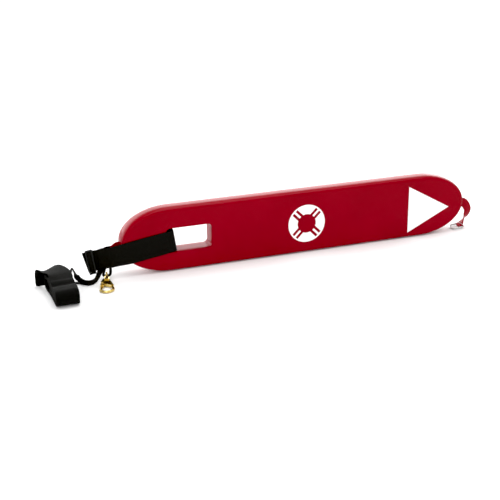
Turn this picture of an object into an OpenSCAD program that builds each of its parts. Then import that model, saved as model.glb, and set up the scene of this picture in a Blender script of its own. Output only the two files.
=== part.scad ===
// Lifeguard rescue tube: a flat foam float in a vinyl skin, standing on its long narrow side.
// +X runs along the float towards the arrow, -Y is the printed face, +Z is up.
// The origin is the middle of the resting side.

/* [Float] */
// Length of the float, tip to tip
float_length = 865; // [800:5:1000]
// Height of the float as it stands
float_height = 152; // [140:1:170]
// Thickness of the float, skin included
float_thick = 44; // [40:0.5:50]
// Reach of each rounded end along the float
end_reach = 115; // [90:1:140]
// Radius of the float's long edges
edge_radius = 9; // [4:0.5:12]
// Thickness of the vinyl skin
skin_thick = 1.2; // [0.8:0.1:2]

/* [Hand slot] */
// Length of the hand slot
slot_length = 105; // [95:1:120]
// Height of the hand slot
slot_height = 55; // [53:1:60]
// Radius of the slot's corners
slot_radius = 8; // [4:1:12]
// Distance from the left tip to the slot
slot_inset = 105; // [100:1:115]
// Height of the slot's lower edge
slot_bottom = 47; // [44:1:52]

/* [Prints] */
// Length of the arrow
arrow_length = 111; // [90:1:120]
// Height of the arrow's base
arrow_height = 117; // [100:1:120]
// Outer diameter of the life-ring emblem
emblem_diameter = 92; // [70:1:110]
// Thickness of the printed ink
print_thick = 0.2; // [0.1:0.05:0.4]

/* [Straps] */
// Width of the black webbing
web_width = 50; // [46:1:51]
// Thickness of the black webbing
web_thick = 1.6; // [1.4:0.1:1.8]
// Width of the coated end straps
end_strap_width = 22; // [20:1:25]
// Thickness of the coated end straps
end_strap_thick = 3.6; // [3:0.2:4]
// Slope of the slot strap, downwards from the slot
strap_slope = 7.7; // [6:0.1:9]
// Width of the flat tow line
line_width = 13; // [12:0.5:15]
// Thickness of the flat tow line
line_thick = 2; // [1.6:0.1:2.4]

/* [Snap hook] */
// Radius of the swivel eye's ring, to the middle of its wire
eye_radius = 6.8; // [6.6:0.1:7.5]
// Radius of the swivel eye's wire
eye_wire = 2.2; // [1.8:0.1:2.2]
// Radius of the bolt
bolt_radius = 2.5; // [2:0.1:2.8]
// Radius of the hook's rod
hook_rod = 3; // [2.6:0.1:3.2]
// Running clearance of the bolt and the swivel
run_gap = 0.05; // [0.03:0.01:0.1]
// Radius of the lanyard cord
cord_radius = 3.2; // [2.8:0.1:3.3]

/* [Hidden] */
eps = 0.01;

vinyl_red = [0.61, 0.01, 0.11];
web_black = [0.06, 0.06, 0.055];
brass = [0.78, 0.6, 0.28];
steel = [0.72, 0.72, 0.7];
print_white = [0.96, 0.96, 0.95];
foam_grey = [0.85, 0.83, 0.78];

tip_x = float_length / 2;
half_thick = float_thick / 2;
mid_z = float_height / 2;
slot_left = slot_inset - tip_x;
slot_mid_z = slot_bottom + slot_height / 2;

// The strap's local frame: x from the slot crossing towards the free end, y across, z along its width.
strap_pivot = [slot_left + 19, 0, slot_mid_z];
run_y = half_thick + 0.4 + web_thick / 2;
tip_turn = 126;
slider_mid = 195.5;
slider_y = 2.6 - half_thick;
slider_bar = 2.6;
slider_slot = 3.9;
slider_thick = 3.5;
slider_width = web_width + 8;
slider_length = 3 * slider_bar + 2 * slider_slot;
layer = web_thick + 0.25;
near_y = slider_thick / 2 + 0.25 + web_thick / 2;
in_slot = slider_slot / 2 - 0.2 - web_thick / 2;
slot_pitch = (slider_bar + slider_slot) / 2;

// The rear run bends inwards behind the end strap; the sewn fold lies against its last stretch.
rear_near = [slider_mid - slider_length / 2 - 2.5, slider_y + near_y + layer];
rear_bend = [152, 17];
rear_dir = unit(rear_near - rear_bend);
rear_out = [-rear_dir[1], rear_dir[0]];
fold_y = slider_y + near_y + 2 * layer;
fold_near = rear_near + layer * [tan(atan2(-rear_dir[1], rear_dir[0]) / 2), 1];
fold_length = 34;
stitch_length = 20;

// The whole strap as one line: fold, slider, rear run, slot crossing, front run, slider and tail.
strap_line = [
  rear_near - rear_dir * fold_length + rear_out * layer,
  fold_near,
  [slider_mid + slot_pitch - in_slot, fold_y],
  [slider_mid + slot_pitch - in_slot, slider_y - near_y],
  [slider_mid - slot_pitch + in_slot, slider_y - near_y],
  [slider_mid - slot_pitch + in_slot, slider_y + near_y + layer],
  rear_near,
  rear_bend,
  [tip_turn, run_y],
  [5, run_y],
  [1.5, run_y - 1.5],
  [0, run_y - 5],
  [0, 5 - run_y],
  [1.5, 1.5 - run_y],
  [5, -run_y],
  [150, -run_y],
  [slider_mid - slider_length / 2 - 3, slider_y + near_y],
  [slider_mid - slot_pitch - in_slot, slider_y + near_y],
  [slider_mid - slot_pitch - in_slot, slider_y - near_y - layer],
  [slider_mid + slot_pitch + in_slot, slider_y - near_y - layer],
  [slider_mid + slot_pitch + in_slot, slider_y + near_y],
  [209.5, slider_y + near_y + 0.4]
];

// Coated end straps: [point on the middle line from the tip, direction of the width, width].
root_z = 70;
left_route = [
  [[13, 0, root_z], [0, 0, 1], 22],
  [[7, 0, root_z], [0, 0, 1], 22],
  [[0, 0, root_z], [0, 0, 1], 22],
  [[-8, -1, 67], [-0.2, 0, 1], 22],
  [[-15, -3, 60], [-0.7, 0.1, 0.7], 20],
  [[-21, -5, 51], [-0.7, 0.7, 0.3], 16],
  [[-25, -6, 44], [-0.1, 1, 0], 12],
  [[-27, -6, 39], [0, 1, 0], 12]
];
left_eye = [-tip_x - 27, -6, 34];
left_eye_bore = 4.2;
left_eye_outer = 6.2;
left_eye_length = 12;
right_route = [
  [[1.6, 0, 68], [0, 0, 1], 22],
  [[10, 0, 66], [0.3, 0, 1], 22],
  [[19, 0, 58], [0.8, 0.1, 0.6], 22],
  [[24, 0, 46], [0.9, 0.4, 0.1], 22],
  [[22, 0, 34], [0.7, 0.7, 0], 22],
  [[15, 0, 21], [0.2, 1, 0], 22],
  [[7.4, 0, 8.6], [0, 1, 0], 21]
];
ring_bar = [tip_x + 6, 0, 5];
ring_wire = 2.25;
ring_half_width = 14;
ring_side = 14;
ring_tilt = asin((ring_bar[2] - ring_wire) / (ring_side + ring_half_width));
right_eye_outer = 5;
right_eye_bore = 2.6;

// Snap hook: its eye's middle, its heading on the floor and the slope at which it lies.
eye_place = [-tip_x - 35, -14, eye_radius + eye_wire];
hook_heading = -101.3;
stem_radius = 2.4;
stem_head = 3.6;
boss_radius = 6.4;
boss_start = 11;
boss_end = 27;
cavity_start = 19;
cavity_end = 24;
bolt_angle = -8;
bolt_root = [24, -7, 0];
barrel_radius = 4.6;
barrel_length = 28;
bore_start = 2;
bolt_start = 16;
bolt_end = 42;
bolt_travel = 8;
stud_at = 21.5;
stud_radius = 1.8;
stud_top = 8.5;
loop_centre = [64.5, -0.5, 0];
loop_radius = 14;
loop_stop = -70;
loop_open = 99;
nose_radius = hook_rod + 0.2;
hook_slope = asin((eye_place[2] - hook_rod - 0.02) / (loop_centre[0] + loop_radius));

// Lanyard route from the left tip: out of the left strap's eye, down to the snap's eye and up again.
lanyard_route = [
  [-27, 0.4, 34], [-27.2, 2.8, 33.4], [-30, 3.6, 29], [-36, -2.5, 22], [-40.6, -9, 16],
  [-42, -12.4, 11.5], [-38.5, -13.3, 9.1], [-35, -14, 9], [-31.5, -14.7, 9.1], [-28, -15.6, 11.5],
  [-26.3, -16.5, 17], [-26.2, -17.4, 26], [-26.7, -15.6, 32.8], [-27, -12.7, 34]
];

// Tow line: [point from the left tip, direction of the width, width]. It bends where it leaves the strap.
line_bend = [-43.5, -14.6, 21.5];
lead_route = [
  [[-28.3, -6, 50], [0, -1, 0], line_width],
  [[-31, -7, 45], [0, -1, 0], line_width],
  [[-37.5, -9.5, 38], [0.4, -0.6, -0.3], line_width],
  [[-41, -13, 30], [0.8, -0.2, -0.5], line_width],
  [line_bend + [0.6, 0.3, 1.6], [0.8, -0.1, -0.6], line_width]
];
tow_route = [
  [line_bend, [0.8, -0.1, -0.6], line_width],
  [[-45.5, -15.4, 18.5], [0.8, 0, -0.6], line_width],
  [[-55, -19, 13], [0.5, 0.2, -0.8], line_width],
  [[-70, -30, 9.6], [0.1, 0.1, -1], line_width],
  [[-82, -31, 9.5], [0, -0.2, -1], line_width],
  [[-91, -21, 10], [0, -0.4, -0.9], line_width],
  [[-98, -9, 13], [0.3, -0.6, -0.7], line_width],
  [[-102, -1, 22], [-0.2, -1, -0.2], line_width],
  [[-106, 0, 31], [-0.3, -1, 0], line_width],
  [[-110.5, -0.5, 25], [0, -1, -0.2], line_width],
  [[-111, -11, 19.5], [0, -0.4, -1], line_width],
  [[-112, -24, 20], [0, 0, -1], line_width],
  [[-113.4, -31, 20], [0, 0, -1], line_width],
  [[-115, -33.6, 20], [0, 0, -1], line_width],
  [[-116.8, -34.2, 20], [0, 0, -1], line_width]
];
tail_route = [
  [[-86, -26, 1.1], [0.4, 1, 0], line_width - 3],
  [[-100, -14, 1.1], [0.6, 0.8, 0], line_width - 3],
  [[-113, -12, 1.1], [0.1, 1, 0], line_width - 3]
];

// Bundle frames: x runs along the roll towards the front, z up.
roll_place = [-tip_x - 141.5, 0, 0];
roll_heading = -88;
arch_place = [-tip_x - 154.5, -8, 0];
arch_heading = -66;
roll_from = 6;
roll_to = 139;
roll_height = 40;
roll_wall = 9;
hank_gap = 0.4;

function unit(v) = v / norm(v);
function turn_left(v) = [-v[1], v[0]];
function before(line, i) = unit(line[max(i, 1)] - line[max(i, 1) - 1]);
function after(line, i) = unit(line[min(i, len(line) - 2) + 1] - line[min(i, len(line) - 2)]);
function mitre(line, i) =
  let (m = unit(turn_left(before(line, i)) + turn_left(after(line, i))))
  m / (m * turn_left(before(line, i)));
function side(line, reach) = [for (i = [0 : len(line) - 1]) line[i] + mitre(line, i) * reach];
function backwards(list) = [for (i = [len(list) - 1 : -1 : 0]) list[i]];
function arc(centre, rx, ry, from, to, steps) =
  [for (i = [0 : steps]) let (a = from + (to - from) * i / steps) centre + [rx * cos(a), ry * sin(a)]];

// A smooth route through hand-chosen points; each point may carry a direction as well.
function spline(p, i, t) =
  let (
    a = p[max(i - 1, 0)],
    b = p[i],
    c = p[min(i + 1, len(p) - 1)],
    d = p[min(i + 2, len(p) - 1)]
  )
  0.5 * (2 * b + (c - a) * t + (2 * a - 5 * b + 4 * c - d) * t * t + (3 * b - a - 3 * c + d) * t * t * t);
function smooth(p, steps) = concat(
  [for (i = [0 : len(p) - 2]) for (k = [0 : steps - 1]) spline(p, i, k / steps)],
  [p[len(p) - 1]]
);
function tangent(p, i) = unit(p[min(i + 1, len(p) - 1)] - p[max(i - 1, 0)]);

// A flat band of webbing that follows a line seen from above.
module band(line, thick) {
  polygon(concat(side(line, thick / 2), backwards(side(line, -thick / 2))));
}

// One closed skin over rings of equal size.
module skin_over(rings) {
  sides = len(rings[0]);
  last = len(rings) - 1;
  polyhedron(
    points = [for (ring = rings) for (p = ring) p],
    faces = concat(
      [[for (k = [0 : sides - 1]) k]],
      [for (i = [0 : last - 1]) for (k = [0 : sides - 1]) let (n = (k + 1) % sides)
        [i * sides + k, (i + 1) * sides + k, (i + 1) * sides + n]],
      [for (i = [0 : last - 1]) for (k = [0 : sides - 1]) let (n = (k + 1) % sides)
        [i * sides + k, (i + 1) * sides + n, i * sides + n]],
      [[for (k = [sides - 1 : -1 : 0]) last * sides + k]]
    )
  );
}

// A flat ribbon with rounded edges along a route of [point, width direction, width].
module ribbon(route, thick, steps) {
  points = smooth([for (r = route) r[0]], steps);
  across = smooth([for (r = route) r[1]], steps);
  widths = smooth([for (r = route) r[2]], steps);
  skin_over([for (i = [0 : len(points) - 1])
    let (
      t = tangent(points, i),
      w = unit(across[i] - (across[i] * t) * t),
      n = cross(t, w)
    )
    [for (a = [22.5 : 45 : 360])
      points[i] + w * widths[i] / 2 * sign(cos(a)) * min(1, abs(cos(a)) * 1.08)
        + n * thick / 2 * sign(sin(a)) * min(1, abs(sin(a)) * 1.4)]
  ]);
}

// A round cord along a route; the rings keep to a fixed side so that the cord doesn't twist.
module tube(route, radius, steps, keep_to) {
  points = smooth(route, steps);
  skin_over([for (i = [0 : len(points) - 1])
    let (
      t = tangent(points, i),
      w = unit(cross(keep_to, t)),
      n = cross(t, w)
    )
    [for (a = [0 : 45 : 315]) points[i] + radius * (cos(a) * w + sin(a) * n)]
  ]);
}

// Side view of the float, smaller all round by inset.
module float_side(inset) {
  reach = end_reach - inset;
  tall = mid_z - inset;
  polygon(concat(
    arc([end_reach - tip_x, mid_z], reach, tall, 90, 270, 24),
    arc([tip_x - end_reach, mid_z], reach, tall, -90, 90, 24)
  ));
}

// Hand slot seen from the front, larger all round by grow.
module slot_side(grow) {
  corner = slot_radius;
  x0 = slot_left + corner;
  x1 = slot_left + slot_length - corner;
  z0 = slot_bottom + corner;
  z1 = slot_bottom + slot_height - corner;
  polygon(concat(
    arc([x1, z0], corner + grow, corner + grow, -90, 0, 5),
    arc([x1, z1], corner + grow, corner + grow, 0, 90, 5),
    arc([x0, z1], corner + grow, corner + grow, 90, 180, 5),
    arc([x0, z0], corner + grow, corner + grow, 180, 270, 5)
  ));
}

// Cross-section of the float with rounded edges, smaller all round by inset.
module float_section(inset) {
  r = edge_radius - inset;
  y = half_thick - edge_radius;
  polygon(concat(
    arc([y, edge_radius], r, r, -90, 0, 4),
    arc([y, float_height - edge_radius], r, r, 0, 90, 4),
    arc([-y, float_height - edge_radius], r, r, 90, 180, 4),
    arc([-y, edge_radius], r, r, 180, 270, 4)
  ));
}

// Lays a shape drawn in the float's side view across the float.
module across_float(depth) {
  rotate([90, 0, 0])
    translate([0, 0, -depth / 2])
      linear_extrude(depth)
        children();
}

module float_body(inset) {
  difference() {
    intersection() {
      across_float(float_thick + 2)
        float_side(inset);
      rotate([90, 0, 90])
        translate([0, 0, -tip_x - 1])
          linear_extrude(float_length + 2)
            float_section(inset);
    }
    across_float(float_thick + 4)
      slot_side(inset);
  }
}

// The core strap passes under the slot, between the foam layers.
module core_outline(grow) {
  band([
    [8 - tip_x - grow, root_z], [70 - tip_x, root_z], [100 - tip_x, 29], [215 - tip_x, 29],
    [245 - tip_x, 68], [tip_x - 7 + grow, 68]
  ], end_strap_width + 2 * grow);
}

// Room for the left strap's root.
module root_box(grow) {
  y = end_strap_thick / 2 + grow;
  z = end_strap_width / 2 + grow;
  translate([-tip_x - 4, -y, root_z - z])
    cube([18 + grow, 2 * y, 2 * z]);
}

module foam_half() {
  difference() {
    float_body(skin_thick);
    across_float(2)
      core_outline(0.2);
    root_box(0.2);
  }
}

module foam_front_layer() {
  color(foam_grey)
    intersection() {
      foam_half();
      translate([-tip_x, -float_thick, 0])
        cube([float_length, float_thick - eps, float_height]);
    }
}

module foam_rear_layer() {
  color(foam_grey)
    intersection() {
      foam_half();
      translate([-tip_x, eps, 0])
        cube([float_length, float_thick, float_height]);
    }
}

module core_strap() {
  color(web_black)
    difference() {
      across_float(1.6)
        core_outline(0);
      root_box(0.2);
    }
}

module vinyl_skin() {
  color(vinyl_red)
    difference() {
      float_body(0);
      float_body(skin_thick);
      root_box(0.2);
    }
}

module arrow_print() {
  base_x = tip_x - 154;
  color(print_white)
    translate([0, -half_thick - print_thick / 2 - eps, 0])
      across_float(print_thick)
        polygon([
          [base_x, 14], [base_x + arrow_length, 14 + arrow_height * 0.46], [base_x, 14 + arrow_height]
        ]);
}

// A life ring: a ring and four bands across it.
module emblem_print() {
  outer = emblem_diameter / 2;
  inner = outer * 0.5;
  color(print_white)
    translate([444 - tip_x, -half_thick - print_thick / 2 - eps, 73])
      across_float(print_thick)
        difference() {
          circle(outer, $fn = 96);
          circle(inner, $fn = 64);
          for (a = [0 : 90 : 270])
            rotate(a + 45)
              difference() {
                translate([inner - 2, -9])
                  square([outer - inner - 2, 18]);
                translate([inner - 3, -2.5])
                  square([outer, 5]);
              }
        }
}

// A sewn eye at an end strap's end, with its bore along the float's thickness.
module end_eye(place, length, outer, bore) {
  translate(place)
    rotate([90, 0, 0])
      difference() {
        cylinder(h = length, r = outer, center = true, $fn = 48);
        cylinder(h = length + 2, r = bore, center = true, $fn = 48);
      }
}

// The left strap leaves the tip, turns down and twists a quarter turn to its eye.
module left_end_strap() {
  color(vinyl_red) {
    translate([-tip_x, 0, 0])
      ribbon(left_route, end_strap_thick, 3);
    end_eye(left_eye, left_eye_length, left_eye_outer, left_eye_bore);
  }
}

// The right strap does the same; its eye holds the ring's bar.
module right_end_strap() {
  color(vinyl_red) {
    translate([tip_x, 0, 0])
      ribbon(right_route, end_strap_thick, 3);
    end_eye(ring_bar, end_strap_width, right_eye_outer, right_eye_bore);
  }
}

// A half-round ring: a bar, two sides and an arc.
module end_ring() {
  color(steel)
    translate(ring_bar)
      rotate([0, -ring_tilt, 0]) {
        rotate([90, 0, 0])
          cylinder(h = 2 * ring_half_width, r = ring_wire, center = true, $fn = 32);
        for (s = [-1, 1]) {
          translate([-ring_side, s * ring_half_width, 0])
            rotate([0, 90, 0])
              cylinder(h = ring_side, r = ring_wire, $fn = 32);
          translate([0, s * ring_half_width, 0])
            sphere(ring_wire, $fn = 32);
        }
        translate([-ring_side, 0, 0])
          rotate([0, 0, 90])
            rotate_extrude(angle = 180, $fn = 64)
              translate([ring_half_width, 0])
                circle(ring_wire, $fn = 32);
      }
}

// Puts a shape drawn in the strap's own frame in its place on the float.
module on_strap() {
  translate(strap_pivot)
    rotate([0, -strap_slope, 0])
      mirror([1, 0, 0])
        children();
}

module slot_strap() {
  color(web_black)
    on_strap()
      translate([0, 0, -web_width / 2])
        linear_extrude(web_width)
          band(strap_line, web_thick);
}

module strap_slider() {
  color(web_black)
    on_strap()
      difference() {
        translate([slider_mid - slider_length / 2, slider_y - slider_thick / 2, -slider_width / 2])
          cube([slider_length, slider_thick, slider_width]);
        for (s = [-1, 1])
          translate([
            slider_mid + s * slot_pitch - slider_slot / 2,
            slider_y - slider_thick,
            -web_width / 2 - 0.7
          ])
            cube([slider_slot, 2 * slider_thick, web_width + 1.4]);
      }
}

// A box of thread on the outside of the sewn fold.
module strap_stitching() {
  start = rear_near - rear_dir * (fold_length - 5) + rear_out * (1.5 * web_thick + 0.27);
  long = stitch_length;
  tall = web_width - 10;
  color(web_black)
    on_strap()
      translate([start[0], start[1], -tall / 2])
        rotate([0, 0, atan2(rear_dir[1], rear_dir[0])])
          difference() {
            cube([long, 0.4, tall]);
            translate([1, -1, 1])
              cube([long - 2, 3, tall - 2]);
          }
}

module hook_lanyard() {
  color(web_black)
    translate([-tip_x, 0, 0])
      tube(lanyard_route, cord_radius, 3, [0, 1, 0.35]);
}

// The crimped sleeve lies in the left strap's eye and joins the cord's two ends.
module lanyard_sleeve() {
  color(steel)
    translate(left_eye)
      rotate([90, 0, 0])
        cylinder(h = left_eye_length - 0.1, r = left_eye_bore - 0.2, center = true, $fn = 32);
}

// Puts a shape drawn in the snap hook's own frame where the hook lies.
module on_hook() {
  translate(eye_place)
    rotate([0, 0, hook_heading])
      rotate([0, hook_slope, 0])
        children();
}

// Puts a shape on the bolt's own line.
module on_bolt() {
  translate(bolt_root)
    rotate([0, 0, bolt_angle])
      rotate([0, 90, 0])
        children();
}

module along_x(from, to, r) {
  translate([from, 0, 0])
    rotate([0, 90, 0])
      cylinder(h = to - from, r = r, $fn = 48);
}

// A ring that stands upright, its stem and the stem's head inside the body.
module snap_eye() {
  color(brass)
    on_hook() {
      rotate([90, 0, 0])
        rotate_extrude($fn = 64)
          translate([eye_radius, 0])
            circle(eye_wire, $fn = 32);
      along_x(eye_radius + eye_wire * 0.6, cavity_start + 1, stem_radius);
      along_x(cavity_start + 0.4, cavity_end - 1, stem_head);
    }
}

// Boss, web, bolt barrel and hook in one casting.
module snap_body() {
  color(brass)
    on_hook()
      difference() {
        union() {
          along_x(boss_start, boss_end, boss_radius);
          translate([0, 0, -3.4])
            linear_extrude(6.8)
              polygon([[18, -6], [26, -9], [44, -10.5], [48, 2], [52, 8.5], [52, 14.6], [24, 6], [18, 6]]);
          on_bolt()
            cylinder(h = barrel_length, r = barrel_radius, $fn = 48);
          translate(loop_centre + loop_radius * [cos(loop_open), sin(loop_open), 0])
            rotate([0, 0, loop_open - 90])
              rotate([0, 90, 0])
                translate([0, 0, -14])
                  cylinder(h = 15, r = hook_rod - 0.1, $fn = 32);
          translate(loop_centre)
            rotate([0, 0, loop_stop])
              rotate_extrude(angle = loop_open - loop_stop, $fn = 96)
                translate([loop_radius, 0])
                  circle(hook_rod, $fn = 32);
          translate(loop_centre + loop_radius * [cos(loop_stop), sin(loop_stop), 0])
            sphere(nose_radius, $fn = 32);
        }
        along_x(boss_start - 1, cavity_start + 1, stem_radius + run_gap);
        along_x(cavity_start, cavity_end, stem_head + 0.4);
        on_bolt()
          translate([0, 0, bore_start])
            cylinder(h = barrel_length, r = bolt_radius + run_gap, $fn = 48);
        translate(bolt_root)
          rotate([0, 0, bolt_angle])
            translate([stud_at - bolt_travel - stud_radius - 0.3, -stud_radius - 0.3, 0])
              cube([bolt_travel + 2 * stud_radius + 0.6, 2 * stud_radius + 0.6, barrel_radius + 2]);
      }
}

module snap_bolt() {
  color(brass)
    on_hook()
      difference() {
        on_bolt()
          translate([0, 0, bolt_start])
            cylinder(h = bolt_end - bolt_start, r = bolt_radius, $fn = 48);
        translate(bolt_root)
          rotate([0, 0, bolt_angle])
            translate([stud_at, 0, 0])
              cylinder(h = bolt_radius + 1, r = 1.2, $fn = 32);
      }
}

// A mushroom stud pressed into the bolt.
module snap_stud() {
  color(brass)
    on_hook()
      translate(bolt_root)
        rotate([0, 0, bolt_angle])
          translate([stud_at, 0, 0]) {
            cylinder(h = bolt_radius + 0.4, r = 1.2, $fn = 32);
            translate([0, 0, bolt_radius + 0.05])
              cylinder(h = stud_top - bolt_radius - 1.5, r = stud_radius, $fn = 32);
            translate([0, 0, stud_top - 1.5])
              cylinder(h = 2, r = 3.2, $fn = 32);
          }
}

// The bolt's spring as a sleeve of its outer size.
module snap_spring() {
  color(steel)
    on_hook()
      on_bolt()
        translate([0, 0, bore_start + 0.1])
          difference() {
            cylinder(h = bolt_start - bore_start - 0.2, r = bolt_radius - 0.1, $fn = 32);
            translate([0, 0, -1])
              cylinder(h = bolt_start, r = bolt_radius - 0.9, $fn = 32);
          }
}

module from_left_tip() {
  translate([-tip_x, 0, 0])
    children();
}

module tow_line_lead() {
  color(web_black)
    from_left_tip()
      ribbon(lead_route, line_thick, 2);
}

module tow_line() {
  color(web_black)
    from_left_tip()
      ribbon(tow_route, line_thick, 3);
}

module tow_line_tail() {
  color(web_black)
    from_left_tip()
      ribbon(tail_route, line_thick, 3);
}

// Bar tack on the lead's sewn end.
module tow_line_stitching() {
  color(web_black)
    from_left_tip()
      translate(lead_route[0][0])
        translate([-line_thick / 2 - 1.3, -4.5, -1.4])
          cube([0.4, 9, 1.3]);
}

module on_roll() {
  translate(roll_place)
    rotate([0, 0, roll_heading])
      children();
}

// Side view of the roll: a flat box with round ends, smaller all round by inset.
module roll_side(inset) {
  r = roll_height / 2 - inset;
  polygon(concat(
    arc([roll_from + roll_height / 2, roll_height / 2], r, r, 90, 270, 12),
    arc([roll_to - roll_height / 2, roll_height / 2], r, r, -90, 90, 12)
  ));
}

// Stands a side view up and gives it a width.
module stood_up(width) {
  rotate([90, 0, 0])
    translate([0, 0, -width / 2])
      linear_extrude(width)
        children();
}

module shoulder_strap_roll() {
  color(web_black)
    on_roll()
      difference() {
        stood_up(web_width)
          roll_side(0);
        stood_up(web_width + 2)
          roll_side(roll_wall);
      }
}

module tow_line_hank() {
  color(web_black)
    on_roll()
      stood_up(web_width - 4)
        roll_side(roll_wall + hank_gap);
}

// The loose outer fold: off the roll's top, over in an arch and down to the floor.
module shoulder_strap_arch() {
  top = roll_height + 1.2;
  color(web_black)
    translate(arch_place)
      rotate([0, 0, arch_heading])
        stood_up(web_width)
          band([
            [52, top], [16, top], [0, top + 2.5], [-12, top + 2.5], [-22, top - 2],
            [-29, top - 12], [-32, 14], [-30, 1.5]
          ], 2);
}

foam_front_layer();
foam_rear_layer();
core_strap();
vinyl_skin();
arrow_print();
emblem_print();
left_end_strap();
right_end_strap();
end_ring();
slot_strap();
strap_slider();
strap_stitching();
hook_lanyard();
lanyard_sleeve();
snap_eye();
snap_body();
snap_bolt();
snap_stud();
snap_spring();
tow_line_lead();
tow_line_stitching();
tow_line();
tow_line_tail();
tow_line_hank();
shoulder_strap_roll();
shoulder_strap_arch();
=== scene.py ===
import math

import bmesh
import bpy
from mathutils import Matrix, Vector


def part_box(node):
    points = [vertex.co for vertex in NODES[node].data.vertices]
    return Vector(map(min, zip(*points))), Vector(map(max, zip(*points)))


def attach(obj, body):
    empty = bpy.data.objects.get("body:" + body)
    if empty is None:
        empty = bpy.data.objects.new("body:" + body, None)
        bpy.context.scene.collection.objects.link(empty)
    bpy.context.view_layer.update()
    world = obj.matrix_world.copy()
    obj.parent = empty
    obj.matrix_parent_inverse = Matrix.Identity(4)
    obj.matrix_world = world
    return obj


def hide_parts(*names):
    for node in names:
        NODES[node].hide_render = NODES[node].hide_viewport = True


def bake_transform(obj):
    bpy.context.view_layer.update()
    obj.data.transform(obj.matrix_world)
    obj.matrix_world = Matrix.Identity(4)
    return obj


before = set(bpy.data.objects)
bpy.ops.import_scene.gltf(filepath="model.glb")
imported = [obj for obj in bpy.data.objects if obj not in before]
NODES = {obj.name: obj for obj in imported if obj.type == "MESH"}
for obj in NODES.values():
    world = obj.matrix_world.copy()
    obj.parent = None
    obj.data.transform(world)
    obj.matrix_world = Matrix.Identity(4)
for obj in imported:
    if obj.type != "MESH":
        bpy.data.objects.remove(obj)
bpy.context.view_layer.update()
MM = 0.001

# ---------------------------------------------------------------- camera
cam_data = bpy.data.cameras.new("camera")
cam_data.lens = 71.93
cam_data.sensor_width = 36.0
cam_data.clip_end = 30.0
camera = bpy.data.objects.new("camera", cam_data)
bpy.context.scene.collection.objects.link(camera)
azimuth, elevation, roll = (math.radians(a) for a in (19.11, 21.23, -0.79))
ahead = math.cos(elevation)
forward = Vector((math.sin(azimuth) * ahead, math.cos(azimuth) * ahead, -math.sin(elevation)))
level = Vector((math.cos(azimuth), -math.sin(azimuth), 0))
rise = level.cross(forward)
right = level * math.cos(roll) + rise * math.sin(roll)
up = rise * math.cos(roll) - level * math.sin(roll)
turn = Matrix((right, up, -forward)).transposed().to_4x4()
camera.matrix_world = Matrix.Translation((-0.8395, -2.0682, 0.8671)) @ turn
bpy.context.scene.camera = camera

# ---------------------------------------------------------------- sizes shared with the CAD
SKIN_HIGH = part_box("vinyl_skin")[1]
TIP = SKIN_HIGH.x
HALF = SKIN_HIGH.y
HEIGHT = SKIN_HIGH.z
MID = HEIGHT / 2
REACH = 0.115
PIVOT = Vector((-TIP + 0.124, 0, 0.0745))
SLOPE = math.radians(7.7)


# ---------------------------------------------------------------- curves and meshes
def catmull(points, i, t):
    a, b = points[max(i - 1, 0)], points[i]
    c, d = points[min(i + 1, len(points) - 1)], points[min(i + 2, len(points) - 1)]
    bend, twist = 2 * a - 5 * b + 4 * c - d, 3 * b - a - 3 * c + d
    return 0.5 * (2 * b + (c - a) * t + bend * t * t + twist * t * t * t)


def smooth(points, steps):
    """Points on a smooth curve through the given ones."""
    out = [catmull(points, i, k / steps) for i in range(len(points) - 1) for k in range(steps)]
    return out + [points[-1]]


def length_of(points):
    return sum((b - a).length for a, b in zip(points, points[1:]))


def even(points, step, *more):
    """Resamples a line at even steps, and any lists that go with it."""
    total = length_of(points)
    count = max(2, round(total / step))
    marks = [0.0]
    for a, b in zip(points, points[1:]):
        marks.append(marks[-1] + (b - a).length)
    outs = [[] for _ in range(1 + len(more))]
    j = 0
    for k in range(count + 1):
        s = total * k / count
        while j < len(points) - 2 and marks[j + 1] < s:
            j += 1
        span = marks[j + 1] - marks[j] or 1
        t = min(1.0, max(0.0, (s - marks[j]) / span))
        for out, data in zip(outs, (points, *more)):
            out.append(data[j] * (1 - t) + data[j + 1] * t)
    return outs if more else outs[0]


def fillet(points, radii, steps=6):
    """Rounds the corners of a line of 2-D or 3-D points."""
    out = [points[0]]
    for i in range(1, len(points) - 1):
        p, r = points[i], radii[i]
        a, b = points[i - 1] - p, points[i + 1] - p
        la, lb = a.length, b.length
        a, b = a / la, b / lb
        half = math.acos(max(-1, min(1, a.dot(b)))) / 2
        if r <= 0 or half > 1.55:
            out.append(p)
            continue
        cut = min(r / math.tan(half), la * 0.49, lb * 0.49)
        start, end = p + a * cut, p + b * cut
        for k in range(steps + 1):
            t = k / steps
            out.append(start * (1 - t) ** 2 + p * 2 * t * (1 - t) + end * t * t)
    return out + [points[-1]]


def new_mesh(name, verts, faces, uvs=None, soft=True):
    data = bpy.data.meshes.new(name)
    data.from_pydata([tuple(v) for v in verts], [], faces)
    if uvs:
        layer = data.uv_layers.new(name="UVMap")
        for poly in data.polygons:
            for li, vi in zip(poly.loop_indices, poly.vertices):
                layer.data[li].uv = uvs[vi]
    if soft:
        data.polygons.foreach_set("use_smooth", [True] * len(data.polygons))
    data.update()
    obj = bpy.data.objects.new(name, data)
    bpy.context.scene.collection.objects.link(obj)
    return obj


def finish_piece(obj, material, body, slot, *stands_for):
    """Dress a piece; body None leaves it free for a blend between two bodies."""
    obj.data.materials.clear()
    obj.data.materials.append(material)
    if body:
        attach(obj, body)
    if stands_for:
        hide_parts(*stands_for)
    return obj


def apply_modifiers(obj):
    deps = bpy.context.evaluated_depsgraph_get()
    data = bpy.data.meshes.new_from_object(obj.evaluated_get(deps))
    old = obj.data
    obj.modifiers.clear()
    obj.data = data
    bpy.data.meshes.remove(old)
    return obj


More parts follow.
